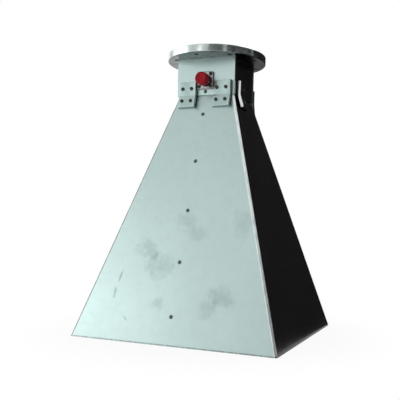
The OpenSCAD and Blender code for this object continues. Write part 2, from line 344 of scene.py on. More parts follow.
def rounded(corners: Sequence[Sequence[float]], radius: Union[float, Sequence[float]],
            closed: bool = False, steps: int = 4) -> np.ndarray:
    """Outline with rounded corners.

    Each corner p becomes the curve (1-t)^2 a + 2t(1-t) p + t^2 b for t from 0 to 1, where a and b
    lie on the two edges at the radius from p, or at half of a shorter edge.

    Args:
        corners: the sharp outline, one row for each corner.
        radius: one radius for all corners, or one for each.
        closed: whether the last corner joins the first.
        steps: number of straight pieces in each rounded corner.

    Returns:
        The points of the rounded outline.
    """
    p = np.asarray(corners, float)
    before, after = np.roll(p, 1, axis=0) - p, np.roll(p, -1, axis=0) - p
    reach = np.broadcast_to(np.asarray(radius, float), len(p)).copy()
    if not closed:
        reach[[0, -1]] = 0.0
    sizes = [np.maximum(np.linalg.norm(v[:, :2], axis=1), 1e-9) for v in (before, after)]
    cut = np.minimum(reach, 0.49 * np.minimum(*sizes))
    a = p + before * (cut / sizes[0])[:, None]
    b = p + after * (cut / sizes[1])[:, None]
    t = np.linspace(0, 1, steps + 1)[None, :, None]
    curve = (1 - t) ** 2 * a[:, None] + 2 * t * (1 - t) * p[:, None] + t ** 2 * b[:, None]
    points = curve.reshape(-1, p.shape[1])
    fresh = np.linalg.norm(np.diff(points, axis=0), axis=1) > 1e-8
    return points[np.concatenate([[True], fresh])]


@dataclass(frozen=True)
class Place:
    """Point on a face of the horn, with the directions along the face, up it and out of it."""

    origin: np.ndarray
    along: np.ndarray
    up: np.ndarray
    out: np.ndarray

    def points(self, x: np.ndarray, y: np.ndarray, z: np.ndarray) -> np.ndarray:
        """Points at x along, y up and z out of the face."""
        return (self.origin + np.asarray(x)[..., None] * self.along
                + np.asarray(y)[..., None] * self.up + np.asarray(z)[..., None] * self.out)


def turned(profile: np.ndarray, place: Place, columns: int = 48, first_cap: bool = False,
           last_cap: bool = False) -> Surface:
    """Profile carried round the axis that stands out of a place.

    At angle a the point of a row lies at radius r cos a, r sin a and height h. A third number
    turns a round row into a hexagon: the radius is divided by 1 + s (cos b - 1), where b is the
    angle from the nearest flat's middle and s is that third number.

    Args:
        profile: rows of radius, height and, if wanted, share of hexagon.
        place: where the axis stands.
        columns: number of points round the axis.
        first_cap: whether the first row is closed with a face.
        last_cap: whether the last row is closed with a face.

    Returns:
        The surface.
    """
    angle = np.linspace(0, 2 * np.pi, columns, endpoint=False)
    radius, height = profile[:, 0], profile[:, 1]
    share = profile[:, 2] if profile.shape[1] > 2 else np.zeros(len(profile))
    flat = np.mod(angle, np.pi / 3) - np.pi / 6
    around = radius[:, None] / (1 + share[:, None] * (np.cos(flat)[None] - 1))
    heights = np.broadcast_to(height[:, None], around.shape)
    points = place.points(around * np.cos(angle), around * np.sin(angle), heights)
    return Surface(points, closed=True, first_cap=first_cap, last_cap=last_cap)


# ---------------------------------------------------------------------------------------------
# Finishes


@dataclass(frozen=True)
class SheetEdges:
    """Painted light along a flare sheet's edges: painted shade on one long edge, a painted
    highlight on the other, painted shade on the lower edge.
    """

    half: float = 148 * MM
    slope: float = 104.8 / 343
    width: float = 3.2 * MM
    # painted shade: dark grey for the long edge that faces away from the light
    dull_and_shade: Colour = (0.13, 0.155, 0.15)
    # painted highlight: light colour for the long edge that catches the light
    painted_highlight: Colour = (0.80, 0.86, 0.85)
    foot: float = 1.8 * MM

    def apply(self, nodes: NodeTree, tone: Socket) -> Socket:
        """Blends the painted edge highlight and the painted edge shade into a tone.

        The distance of a point from the sheet's long edge is half less slope times z less the
        size of x, so each edge is a band where that is small.

        Args:
            nodes: tree that the pattern goes into.
            tone: colour socket of the plain sheet.

        Returns:
            The new colour's socket.
        """
        x, y, z = nodes.axes()
        reach = nodes.calc("SUBTRACT", self.half, nodes.calc("MULTIPLY", z, self.slope))
        inside = nodes.calc("SUBTRACT", reach, nodes.calc("ABSOLUTE", x))
        wander = nodes.noise(nodes.mapped(size=(5 * MM, 5 * MM, 40 * MM)), detail=4)
        band = nodes.spread(inside, self.width - 0.5 * MM, self.width + 0.3 * MM, 1.0, 0.0)
        left = nodes.calc("MULTIPLY", band,
                          nodes.calc("LESS_THAN", nodes.calc("MULTIPLY", x, y), 0.0))
        right = nodes.calc("SUBTRACT", band, left)
        # painted shade along the sheet's lower edge
        foot = nodes.spread(z, self.foot - 0.6 * MM, self.foot + 0.6 * MM, 0.75, 0.0)
        # noise breaks up the painted edge bands
        band_break_up = nodes.spread(wander, 0.35, 0.6, 0.55, 1.0)
        tone = nodes.blend(nodes.calc("MULTIPLY", right, band_break_up), tone, self.dull_and_shade)
        tone = nodes.blend(nodes.calc("MULTIPLY", left, band_break_up), tone, self.painted_highlight)
        return nodes.blend(nodes.calc("MULTIPLY", foot, band_break_up), tone, self.dull_and_shade)


@dataclass(frozen=True)
class SatinAluminium:
    """Bare rolled aluminium sheet: cloudy tone, rolling streaks, smudges and fine scratches."""

    name: str
    colour: Colour = (0.42, 0.535, 0.52)
    metal: float = 0.88
    roughness: float = 0.38
    cloud: float = 0.10
    grain_size: tuple[float, float, float] = (0.9 * MM, 0.9 * MM, 60 * MM)
    stains: tuple[Stain, ...] = ()
    stain_colour: Colour = (0.66, 0.69, 0.68)
    edges: Optional["SheetEdges"] = None
    specks: float = 0.07
    relief: float = 0.5

    def smudge_share(self, nodes: NodeTree) -> Optional[Socket]:
        """Sum of the stains, each a round falloff with a wandering edge.

        Args:
            nodes: tree that the pattern goes into.

        Returns:
            The share of smudge, or None if the finish has no stains.
        """
        total = None
        wander = nodes.noise(nodes.mapped(size=(14 * MM,) * 3), detail=5, rough=0.6)
        for stain in self.stains:
            place = nodes.mapped((stain.x, 0, stain.z), (stain.width, 1e3, stain.height),
                                 (0, stain.lean, 0))
            reach = nodes.calc("ADD", nodes.length(place),
                               nodes.calc("MULTIPLY", nodes.calc("SUBTRACT", wander, 0.5), 2.6))
            share = nodes.spread(reach, 0.15, 1.05, stain.strength, 0.0)
            total = share if total is None else nodes.calc("ADD", total, share, clamp=True)
        return total

    def make(self) -> bpy.types.Material:
        """Builds the material.

        Returns:
            The material.
        """
        nodes = NodeTree(self.name)
        cloud = nodes.noise(nodes.mapped(size=(90 * MM, 90 * MM, 120 * MM)), detail=3)
        patches = nodes.noise(nodes.mapped(size=(11 * MM,) * 3), detail=6, rough=0.62)
        grain = nodes.noise(nodes.mapped(size=self.grain_size), detail=3, rough=0.6)
        tone = nodes.blend(nodes.spread(cloud, 0.3, 0.7, 0.0, self.cloud), self.colour,
                           tuple(0.72 * c for c in self.colour))
        tone = nodes.blend(nodes.spread(patches, 0.42, 0.72, 0.0, self.specks), tone,
                           (0.3, 0.34, 0.33))
        smudge = self.smudge_share(nodes)
        roughness = nodes.spread(grain, 0.3, 0.7, self.roughness - 0.04, self.roughness + 0.05)
        if smudge is not None:
            tone = nodes.blend(smudge, tone, self.stain_colour, "MULTIPLY")
            roughness = nodes.calc("ADD", roughness, nodes.calc("MULTIPLY", smudge, 0.12))
        # painted highlight and painted shade along the sheet's long and lower edges
        if self.edges is not None:
            tone = self.edges.apply(nodes, tone)
        nodes.shade(Base_Color=tone, Metallic=self.metal, Roughness=roughness)
        nodes.relief(grain, 0.02 * MM, self.relief)
        return nodes.material


@dataclass(frozen=True)
class TurnedAluminium:
    """Faced and turned plate: fine concentric tool marks, low gloss blur and matt blotches, with
    painted shade over the underside and a near-black painted shadow on it towards +X.
    """

    name: str
    colour: Colour = (0.47, 0.535, 0.525)
    # painted shade: darker colour for the underside, which lies in shade
    under: Colour = (0.14, 0.16, 0.155)
    # painted shadow: near-black colour on the underside towards +X
    painted_shadow: Colour = (0.03, 0.03, 0.03)
    under_z: float = 397.6 * MM
    roughness: float = 0.17
    pitch: float = 0.35 * MM

    def make(self) -> bpy.types.Material:
        """Builds the material.

        Returns:
            The material.
        """
        nodes = NodeTree(self.name)
        x, y, z = nodes.axes()
        radius = nodes.calc("SQRT", nodes.calc("ADD", nodes.calc("MULTIPLY", x, x),
                                               nodes.calc("MULTIPLY", y, y)))
        turn = nodes.calc("ADD", radius, z)
        marks = nodes.calc("SINE", nodes.calc("MULTIPLY", turn, 2 * math.pi / self.pitch))
        blotch = nodes.noise(nodes.mapped(size=(16 * MM,) * 3), detail=5, rough=0.6)
        fine = nodes.noise(nodes.mapped(size=(1.2 * MM,) * 3), detail=4, rough=0.6)
        dull_and_shade = nodes.spread(blotch, 0.46, 0.66)
        tone = nodes.blend(nodes.calc("MULTIPLY", dull_and_shade, 0.30), self.colour, (0.2, 0.21, 0.21))
        tone = nodes.blend(nodes.spread(fine, 0.5, 0.75, 0.0, 0.05), tone, (0.2, 0.22, 0.22))
        # painted shade: faces below under_z get the underside colour, turning into the near-black
        # painted shadow towards +X
        below = nodes.calc("LESS_THAN", z, self.under_z)
        shadow_reach = nodes.calc("ADD", x, nodes.calc("MULTIPLY", nodes.calc("SUBTRACT", blotch, 0.5),
                                                0.03))
        under = nodes.blend(nodes.spread(shadow_reach, 0.02, 0.058), self.under, self.painted_shadow)
        tone = nodes.blend(below, tone, under)
        nodes.shade(Base_Color=tone, Metallic=1.0,
                    Roughness=nodes.calc("ADD", nodes.calc("MULTIPLY",
                                                           nodes.calc("ADD", dull_and_shade, below), 0.1),
                                         nodes.spread(fine, 0.3, 0.7, self.roughness - 0.01,
                                                      self.roughness + 0.01)))
        nodes.relief(marks, 0.004 * MM, 0.4)
        return nodes.material


@dataclass(frozen=True)
class BlackCoat:
    """Semi-gloss black coat on sheet: slight orange peel, haze and fine dust."""

    name: str
    colour: Colour = (0.023, 0.0205, 0.022)
    roughness: float = 0.13

    def make(self) -> bpy.types.Material:
        """Builds the material.

        Returns:
            The material.
        """
        nodes = NodeTree(self.name)
        peel = nodes.noise(nodes.mapped(size=(1.6 * MM,) * 3), detail=2)
        haze = nodes.noise(nodes.mapped(size=(60 * MM, 60 * MM, 90 * MM)), detail=4, rough=0.6)
        dust = nodes.noise(nodes.mapped(size=(0.5 * MM,) * 3), detail=1)
        tone = nodes.blend(nodes.spread(haze, 0.35, 0.75, 0.0, 0.5), self.colour,
                           (0.031, 0.028, 0.029))
        tone = nodes.blend(nodes.spread(dust, 0.74, 0.8, 0.0, 0.25), tone, (0.10, 0.10, 0.10))
        nodes.shade(Base_Color=tone, Roughness=nodes.spread(haze, 0.3, 0.7, self.roughness,
                                                            self.roughness + 0.06))
        nodes.relief(peel, 0.01 * MM, 0.25)
        return nodes.material


@dataclass(frozen=True)
class PlatedMetal:
    """Thin metal finish on a turned or cast part: blackened steel, nickel or gold."""

    name: str
    colour: Colour
    roughness: float
    mottle: float = 0.15

    def make(self) -> bpy.types.Material:
        """Builds the material.

        Returns:
            The material.
        """
        nodes = NodeTree(self.name)
        mottle = nodes.noise(nodes.mapped(size=(3 * MM,) * 3), detail=4, rough=0.6)
        fine = nodes.noise(nodes.mapped(size=(0.3 * MM,) * 3), detail=2)
        tone = nodes.blend(nodes.spread(mottle, 0.35, 0.7, 0.0, self.mottle), self.colour,
                           tuple(0.5 * c for c in self.colour))
        nodes.shade(Base_Color=tone, Metallic=1.0,
                    Roughness=nodes.spread(mottle, 0.3, 0.7, self.roughness - 0.05,
                                           self.roughness + 0.08))
        nodes.relief(fine, 0.01 * MM, 0.3)
        return nodes.material


@dataclass(frozen=True)
class Plastic:
    """Moulded plastic: a fine moulded grain and a slightly uneven colour."""

    name: str
    colour: Colour
    roughness: float
    grain: float = 0.4 * MM
    specular: float = 0.5

    def make(self) -> bpy.types.Material:
        """Builds the material.

        Returns:
            The material.
        """
        nodes = NodeTree(self.name)
        uneven = nodes.noise(nodes.mapped(size=(5 * MM,) * 3), detail=3)
        grain = nodes.noise(nodes.mapped(size=(self.grain,) * 3), detail=2)
        tone = nodes.blend(nodes.spread(uneven, 0.3, 0.7, 0.0, 0.35), self.colour,
                           tuple(0.75 * c for c in self.colour))
        nodes.shade(Base_Color=tone, Specular_IOR_Level=self.specular,
                    Roughness=nodes.spread(grain, 0.3, 0.7, self.roughness,
                                           self.roughness + 0.1))
        nodes.relief(grain, 0.02 * MM, 0.3)
        return nodes.material


# ---------------------------------------------------------------------------------------------
# Places on the horn


@dataclass(frozen=True)
class Shell:
    """Sizes of the feed housing and the flare that the fine pieces stand on."""

    feed_w: float = 90 * MM
    feed_d: float = 78 * MM
    throat_w: float = 86.4 * MM
    throat_d: float = 74.4 * MM
    mouth_w: float = 296 * MM
    mouth_d: float = 272 * MM
    joint_z: float = 343 * MM
    jack_z: float = 364 * MM

    def half(self, turn: int) -> float:
        """Distance of a housing face from the axis."""
        return (self.feed_w if abs(turn) == 90 else self.feed_d) / 2

    def throat(self, turn: int) -> float:
        """Distance of a flare face from the axis where it meets the housing."""
        return (self.throat_w if abs(turn) == 90 else self.throat_d) / 2

    def slope(self, turn: int) -> float:
        """How far a flare face runs outwards for each unit down."""
        mouth = self.mouth_w if abs(turn) == 90 else self.mouth_d
        return (mouth / 2 - self.throat(turn)) / self.joint_z

    def faced(self, turn: int, along: float, out: float, z: float, tilt: float) -> Place:
        """Place on the face at a turn about the axis, tilted up by an angle.

        Args:
            turn: turn of the face about the axis, in degrees.
            along: distance along the face.
            out: distance from the axis.
            z: height.
            tilt: angle by which the face looks up, in radians.

        Returns:
            The place.
        """
        c, s = math.cos(math.radians(turn)), math.sin(math.radians(turn))
        spin = np.array([[c, -s, 0], [s, c, 0], [0, 0, 1]])
        up = (0, math.sin(tilt), math.cos(tilt))
        outward = (0, -math.cos(tilt), math.sin(tilt))
        return Place(spin @ np.array([along, -out, z]), spin @ np.array([1.0, 0, 0]),
                     spin @ np.array(up), spin @ np.array(outward))

    def on_feed(self, turn: int, along: float, z: float, rise: float = 0.0) -> Place:
        """Place on a housing face."""
        return self.faced(turn, along, self.half(turn) + rise, z, 0.0)

    def on_flare(self, turn: int, along: float, z: float, rise: float = 0.0) -> Place:
        """Place on a flare face."""
        out = self.throat(turn) + self.slope(turn) * (self.joint_z - z) + rise
        return self.faced(turn, along, out, z, math.atan(self.slope(turn)))


# ---------------------------------------------------------------------------------------------
# Fine pieces


@dataclass
class DustCap:
    """Moulded push-on cap: rounded closed end with a shallow dish, grip bead at the mouth."""

    shell: Shell
    radius: float = 9.3 * MM
    bead: float = 9.4 * MM
    bore: float = 8.02 * MM
    start: float = 7.5 * MM
    end: float = 18.0 * MM
    inner_end: float = 16.5 * MM

    def build(self, material: bpy.types.Material) -> bpy.types.Object:
        """Makes the cap as one profile of radius and height carried round the jack's axis.

        Args:
            material: finish of the piece.

        Returns:
            The new object.
        """
        r, e, mm = self.radius, self.end, MM
        outline = rounded([
            (0.3 * mm, self.inner_end), (self.bore, self.inner_end),
            (self.bore, self.start + 0.4 * mm), (self.bore + 0.3 * mm, self.start),
            (self.bead, self.start), (self.bead, self.start + 1.3 * mm),
            (r - 0.15 * mm, self.start + 1.8 * mm), (r, e), (5.4 * mm, e),
            (4.9 * mm, e - 0.4 * mm), (0.3 * mm, e - 0.35 * mm)],
            [0, 0.4 * mm, 0.1 * mm, 0.1 * mm, 0.35 * mm, 0.4 * mm, 0.5 * mm, 3.6 * mm,
             0.35 * mm, 0.5 * mm, 0], steps=6)
        place = self.shell.on_feed(0, 0.0, self.shell.jack_z)
        cap = join_surfaces("dust_cap_moulding",
                            [turned(outline, place, 72, first_cap=True, last_cap=True)], 50)
        cap.data.materials.append(material)
        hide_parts("dust_cap")
        return cap


@dataclass
class Jack:
    """Panel jack in one piece: square flange, neck, threaded barrel and rear spigot."""

    shell: Shell
    plate: float = 25.4 * MM
    plate_t: float = 3.0 * MM
    hole_pitch: float = 18.2 * MM
    corner: float = 1.5 * MM
    neck: float = 6.7 * MM
    barrel: float = 7.95 * MM
    reach: float = 16.5 * MM
    pitch: float = 1.058 * MM
    thread_depth: float = 0.5 * MM

    def flange(self, place: Place) -> Surface:
        """Square outline with rounded corners, carried out of the face and drawn in at the rim.

        A row at inset i scales the outline about the axis by 1 - i divided by half the side.

        Args:
            place: where the axis stands.

        Returns:
            The surface.
        """
        h = self.plate / 2
        outline = rounded([(-h, -h), (h, -h), (h, h), (-h, h)], 1.7 * self.corner, closed=True,
                          steps=6)
        inset = np.array([0.15, 0.0, 0.0, 0.06, 0.2, 0.45]) * MM
        height = np.array([0.0, 0.15 * MM, self.plate_t - 0.45 * MM, self.plate_t - 0.2 * MM,
                           self.plate_t - 0.06 * MM, self.plate_t])
        scale = (1 - inset / h)[:, None]
        z = np.broadcast_to(height[:, None], (len(height), len(outline)))
        points = place.points(scale * outline[:, 0], scale * outline[:, 1], z)
        return Surface(points, closed=True, first_cap=True, last_cap=True)

    def barrel_body(self, place: Place) -> Surface:
        """Neck, thread, bore and spigot as one closed profile carried round the axis.

        On the threaded stretch the radius is the barrel's less the thread's depth times a
        triangle wave of height over pitch plus angle over a full turn, so the groove climbs by
        one pitch in a turn. It fades out at both ends.

        Args:
            place: where the axis stands.

        Returns:
            The surface.
        """
        mm, columns = MM, 96
        before = rounded([(3.53 * mm, -5 * mm), (6 * mm, -5 * mm), (6 * mm, 1 * mm),
                          (self.neck + 0.8 * mm, 1 * mm), (self.neck + 0.8 * mm, self.plate_t),
                          (self.neck, self.plate_t + 0.8 * mm), (self.neck, 7 * mm),
                          (self.barrel - self.thread_depth, 7 * mm)], 0.3 * mm)
        height = np.arange(7.1 * mm, self.reach - 0.1 * mm, self.pitch / 8)
        after = rounded([(self.barrel - self.thread_depth, self.reach), (4.4 * mm, self.reach),
                         (4.2 * mm, self.reach - 0.3 * mm), (4.2 * mm, 4 * mm),
                         (3.53 * mm, 4 * mm), (3.53 * mm, -5 * mm)], 0.1 * mm)
        angle = np.linspace(0, 2 * np.pi, columns, endpoint=False)
        phase = height[:, None] / self.pitch + angle[None] / (2 * np.pi)
        wave = np.abs(2 * np.mod(phase, 1) - 1)
        fade = np.clip(np.minimum(height - 7.1 * mm, self.reach - height) / (1.2 * mm), 0, 1)
        radius = self.barrel - self.thread_depth * (1 - fade[:, None] * (1 - wave))
        rows = [np.repeat(before[:, :1], columns, 1), radius, np.repeat(after[:, :1], columns, 1)]
        radius = np.concatenate(rows)
        levels = np.concatenate([before[:, 1], height, after[:, 1]])[:, None]
        z = np.broadcast_to(levels, radius.shape)
        return Surface(place.points(radius * np.cos(angle), radius * np.sin(angle), z),
                       closed=True)

    def screw_places(self) -> list[Place]:
        """Places of the four mounting screws, on the flange's surface.

        Returns:
            The places.
        """
        half = self.hole_pitch / 2
        return [self.shell.on_feed(0, i * half, self.shell.jack_z + j * half, self.plate_t)
                for i in (-1, 1) for j in (-1, 1)]

    def build(self, material: bpy.types.Material) -> bpy.types.Object:
        """Joins the flange and the barrel.

        Args:
            material: finish of the piece.

        Returns:
            The new object.
        """
        place = self.shell.on_feed(0, 0.0, self.shell.jack_z)
        jack = join_surfaces("panel_jack", [self.flange(place), self.barrel_body(place)], 32)
        jack.data.materials.append(material)
        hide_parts("connector_body")
        return jack


class HeadStyle(Enum):
    """Shape of a screw's head."""

    BUTTON = "button"
    FLAT = "flat"


@dataclass
class ScrewSet:
    """Screws of one kind, each at its own place, with a hexagon socket in the head."""

    name: str
    node: str
    style: HeadStyle
    places: Sequence[Place]
    lengths: Sequence[float]
    head: float = 2.65 * MM
    head_h: float = 1.75 * MM
    shank: float = 1.5 * MM
    flats: float = 2.0 * MM
    socket_depth: float = 1.1 * MM

    def profile(self, length: float) -> np.ndarray:
        """Rows of radius, height and share of hexagon, from the socket's floor to the tip.

        Args:
            length: length of the screw under its head.

        Returns:
            The rows.
        """
        mm, af = MM, self.flats / 2
        top = self.head_h if self.style is HeadStyle.BUTTON else -0.08 * mm
        socket = [(0.25 * af, top - self.socket_depth - 0.25 * mm, 1),
                  (0.98 * af, top - self.socket_depth, 1), (af, top - self.socket_depth, 1),
                  (af, top - 0.16 * mm, 1), (af + 0.16 * mm, top, 0.5)]
        if self.style is HeadStyle.BUTTON:
            bend = np.linspace(0, np.pi / 2, 7)[1:]
            crown = [(af + 0.35 * mm, top, 0.1)]
            inner, low = af + 0.35 * mm, 0.45 * mm
            dome = np.stack([inner + (self.head - inner) * np.sin(bend),
                             low + (top - low) * np.cos(bend), 0 * bend], axis=1).tolist()
            rim = [(self.head, 0.12 * mm, 0), (self.head - 0.12 * mm, 0, 0)]
            neck = [(self.shank, 0, 0)]
        else:
            crown = [(self.head - 0.14 * mm, top, 0)]
            dome = [(self.head - 0.03 * mm, top - 0.04 * mm, 0)]
            rim = [(self.head, top - 0.14 * mm, 0)]
            neck = [(self.shank, top - 0.14 * mm - (self.head - self.shank), 0)]
        tip = [(self.shank, -length + 0.4 * mm, 0), (self.shank - 0.4 * mm, -length, 0)]
        return np.array([list(row) for row in socket + crown + dome + rim + neck + tip])

    def build(self, material: bpy.types.Material) -> bpy.types.Object:
        """Makes all screws of the set as one mesh.

        Args:
            material: finish of the piece.

        Returns:
            The new object.
        """
        surfaces = [turned(self.profile(length), place, 36, first_cap=True, last_cap=True)
                    for place, length in zip(self.places, self.lengths)]
        screws = join_surfaces(self.name, surfaces, 35)
        screws.data.materials.append(material)
        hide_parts(self.node)
        return screws


@dataclass(frozen=True)
class Seat:
    """Where a joint bracket sits: turn of its face, centre along it, side of its rib."""

    node: str
    turn: int
    centre: float
    rib_side: int


SEATS = (Seat("front_left_bracket", 0, -27 * MM, 1), Seat("front_right_bracket", 0, 27 * MM, 1),
         Seat("rear_right_bracket", 180, -31 * MM, -1),
         Seat("rear_left_bracket", 180, 31 * MM, 1), Seat("right_bracket", 90, -16 * MM, -1),
         Seat("left_bracket", -90, 16 * MM, 1))


@dataclass
class Bracket:
    """Kinked joint bracket: a plate that follows housing and flare, with a standing rib."""

    shell: Shell
    seat: Seat
    width: float = 28 * MM
    up: float = 20 * MM
    down: float = 18 * MM
    plate: float = 2 * MM
    rib: float = 6 * MM
    rib_width: float = 2 * MM
    pitch: float = 14 * MM
    shift: float = 1.5 * MM
    screw_up: float = 10 * MM
    screw_down: float = 8 * MM
    toe: float = 2.8 * MM

    def upper_screws(self) -> list[Place]:
        """Places of the two screws in the housing, on the plate's surface.

        Returns:
            The places.
        """
        centre = self.seat.centre - self.seat.rib_side * self.shift
        z = self.shell.joint_z + self.screw_up
        return [self.shell.on_feed(self.seat.turn, centre + side * self.pitch / 2, z, self.plate)
                for side in (-1, 1)]

    def lower_leg(self) -> float:
        """Thickness of the lower leg, which fills the step from housing to flare."""
        return (self.shell.half(self.seat.turn) + self.plate
                - self.shell.throat(self.seat.turn))

    def lower_screws(self) -> list[Place]:
        """Places of the two screws in the flare, on the plate's surface.

        Returns:
            The places.
        """
        centre = self.seat.centre - self.seat.rib_side * self.shift
        z = self.shell.joint_z - self.screw_down
        return [self.shell.on_flare(self.seat.turn, centre + side * self.pitch / 2, z,
                                    self.lower_leg()) for side in (-1, 1)]

    def strip(self, rise: float, start: float, end: float, soft: float) -> Surface:
        """Kinked section of out and height, carried along the face from start to end.

        A row near either end is drawn in towards the section's middle line, by the soft edge
        times one minus the sine of the way round the edge.

        Args:
            rise: how far the outer side stands off the housing.
            start: where the strip starts along the face.
            end: where the strip ends along the face.
            soft: reach of the rounded ends.

        Returns:
            The surface.
        """
        turn = self.seat.turn
        half, throat = self.shell.half(turn), self.shell.throat(turn)
        drop = self.shell.slope(turn) * self.down
        inner = np.array([[half, self.up], [half, 0.0], [throat, 0.0],
                          [throat + drop, -self.down]])
        outer = np.array([[half + rise + drop, -self.down], [half + rise, 0.0],
                          [half + rise, self.up]])
        section = rounded(np.vstack([inner, outer]),
                          [0.1 * MM, 0, 0, 0.1 * MM, self.toe, 0.5 * MM, 0.6 * MM], closed=True)
        middle = np.array([(half + rise / 2), 0.0]) + np.outer(
            np.clip(-section[:, 1], 0, None), [self.shell.slope(turn), 0.0])
        middle[:, 1] = np.clip(section[:, 1], -self.down + rise / 2, self.up - rise / 2)
        way = np.linspace(0, 1, 4)
        draw = soft * (1 - np.sin(way * np.pi / 2))
        step = soft * (1 - np.cos(way * np.pi / 2))
        draws = np.concatenate([draw, draw[::-1]])
        along = np.concatenate([start + step, end - step[::-1]])
        away = middle - section
        away /= np.maximum(np.linalg.norm(away, axis=1), 1e-9)[:, None]
        rows = section[None] + draws[:, None, None] * away[None]
        place = self.shell.faced(turn, 0.0, 0.0, self.shell.joint_z, 0.0)
        x = np.broadcast_to(along[:, None], rows.shape[:2])
        points = place.points(x, rows[..., 1], rows[..., 0])
        return Surface(points, closed=True, first_cap=True, last_cap=True)

    def build(self, plate_finish: bpy.types.Material,
              rib_finish: bpy.types.Material) -> bpy.types.Object:
        """Makes the plate and the rib.

        Args:
            plate_finish: material of the plate.
            rib_finish: material of the rib.

        Returns:
            The bracket.
        """
        seat, w = self.seat, self.width / 2
        low, high = seat.centre - w, seat.centre + w
        rib = (high - self.rib_width, high) if seat.rib_side > 0 else (low, low + self.rib_width)
        bracket = join_surfaces(seat.node + "_pressing",
                                [self.strip(self.plate, low, high, 0.3 * MM),
                                 self.strip(self.rib, *rib, 0.35 * MM)], 40)
        bracket.data.materials.append(plate_finish)
        bracket.data.materials.append(rib_finish)
        count = len(bracket.data.polygons)
        bracket.data.polygons.foreach_set("material_index",
                                          (np.arange(count) >= count // 2).astype(int))
        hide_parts(seat.node)
        return bracket


# ---------------------------------------------------------------------------------------------
# Studio


@dataclass
class Camera:
    """Still camera at the height of the horn's middle, a little to its right."""

    place: tuple[float, float, float] = (0.3680, -0.8364, 0.1609)
    azimuth: float = 21.249
    elevation: float = -2.074
    roll: float = 1.486
    lens: float = 55.0
    shift_x: float = -0.10

    def build(self) -> bpy.types.Object:
        """Makes the camera and gives it to the scene.

        Returns:
            The new object.
        """
        data = bpy.data.cameras.new("camera")
        data.sensor_width = 36.0
        data.lens = self.lens
        data.shift_x = self.shift_x
        data.clip_start, data.clip_end = 0.01, 50.0
        camera = bpy.data.objects.new("camera", data)
        bpy.context.scene.collection.objects.link(camera)
        az, el, roll = (math.radians(v) for v in (self.azimuth, self.elevation, self.roll))
        back = Vector((math.sin(az) * math.cos(el), -math.cos(az) * math.cos(el), math.sin(el)))
        level = Vector((math.cos(az), math.sin(az), 0))
        upright = back.cross(level)
        right = level * math.cos(roll) + upright * math.sin(roll)
        up = back.cross(right)
        camera.matrix_world = (Matrix.Translation(self.place)
                               @ Matrix((right, up, back)).transposed().to_4x4())
        bpy.context.scene.camera = camera
        return camera


@dataclass
class Lamp:
    """Softbox that faces the horn, placed by azimuth, elevation and distance."""

    name: str
    azimuth: float
    elevation: float
    distance: float
    width: float
    height: float
    watts: float
    aim_z: float = 0.2

    def build(self) -> bpy.types.Object:
        """Makes the area light.

        Returns:
            The new object.
        """
        data = bpy.data.lights.new(self.name, "AREA")
        data.shape = "RECTANGLE"
        data.size, data.size_y = self.width, self.height
        data.energy = self.watts
        lamp = bpy.data.objects.new(self.name, data)
        bpy.context.scene.collection.objects.link(lamp)
        az, el = math.radians(self.azimuth), math.radians(self.elevation)
        out = Vector((math.sin(az) * math.cos(el), -math.cos(az) * math.cos(el), math.sin(el)))
        lamp.location = Vector((0, 0, self.aim_z)) + out * self.distance
        lamp.rotation_mode = "QUATERNION"
        lamp.rotation_quaternion = out.to_track_quat("Z", "Y")
        return lamp


@dataclass
class Flag:
    """Dark card: part of an upright cylinder round the horn, unseen by the camera."""

    name: str
    start: float
    end: float
    low: float
    high: float
    shade: float
    radius: float = 1.25

    def build(self) -> bpy.types.Object:
        """Makes the card.

        A point at azimuth a and height h lies at (radius sin a, -radius cos a, h).

        Returns:
            The new object.
        """
        a, h = np.meshgrid(np.radians(np.linspace(self.start, self.end, 24)),
                           [self.low, self.high])
        points = np.stack([self.radius * np.sin(a), -self.radius * np.cos(a), h], axis=-1)
        card = Surface(points).to_object(self.name)
        nodes = NodeTree(self.name)
        nodes.shade(Base_Color=(self.shade,) * 3, Roughness=0.9)
        card.data.materials.append(nodes.material)
        card.visible_camera = False
        return card


@dataclass
class FloorCard:
    """Dark card lying on the floor beside the black side, unseen by the camera."""

    start: float = 96
    end: float = 178
    near: float = 0.19
    far: float = 1.24
    shade: float = 0.02
    rise: float = 2 * MM

    def build(self) -> bpy.types.Object:
        """Makes the card: a point at azimuth a and radius r lies at (r sin a, -r cos a).

        Returns:
            The new object.
        """
        a, r = np.meshgrid(np.radians(np.linspace(self.start, self.end, 24)),
                           [self.near, self.far])
        points = np.stack([r * np.sin(a), -r * np.cos(a), np.full_like(a, self.rise)], axis=-1)
        card = Surface(points).to_object("floor_card")
        nodes = NodeTree("floor_card")
        nodes.shade(Base_Color=(self.shade,) * 3, Roughness=0.9)
        card.data.materials.append(nodes.material)
        card.visible_camera = False
        card.visible_shadow = False
        card.visible_diffuse = False
        return card


